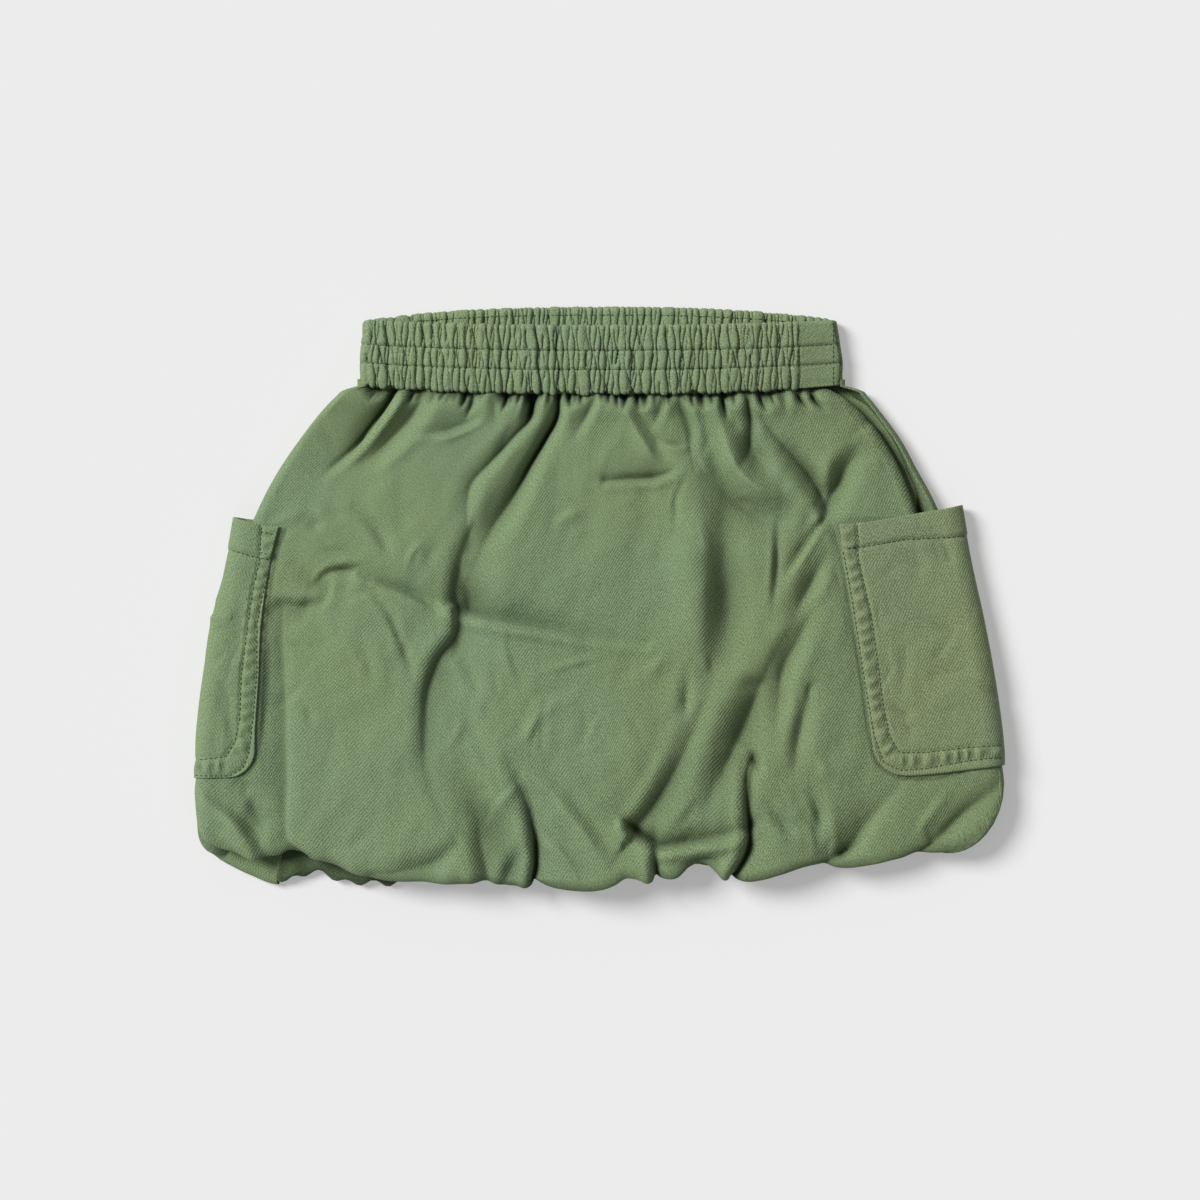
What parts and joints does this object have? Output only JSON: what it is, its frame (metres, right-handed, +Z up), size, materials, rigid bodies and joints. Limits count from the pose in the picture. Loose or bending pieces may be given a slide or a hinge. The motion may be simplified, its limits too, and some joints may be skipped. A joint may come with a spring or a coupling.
{
  "type": "balloon skirt",
  "caption": "Child's balloon skirt lying flat: gathered elastic waistband, rolled-under puffed hem, cargo pockets wrapped round the side seams.",
  "frame": {"origin": "centre of the bounding box at the surface the skirt lies on", "axes": "+Z up from the surface, +Y along the skirt from the hem to the waistband, +X across it"},
  "size_m": [0.4053, 0.2917, 0.0238],
  "materials": {
    "waistband": "olive green cotton twill over elastic, gathered",
    "twill": "olive green washed cotton twill, matte",
    "pocket": "olive green washed cotton twill, matte"
  },
  "bodies": {
    "root": {"waistband_front": "waistband", "waistband_back": "waistband", "front_panel": "twill", "back_panel": "twill", "pocket_left": "pocket", "pocket_right": "pocket"}
  },
  "joints": []
}
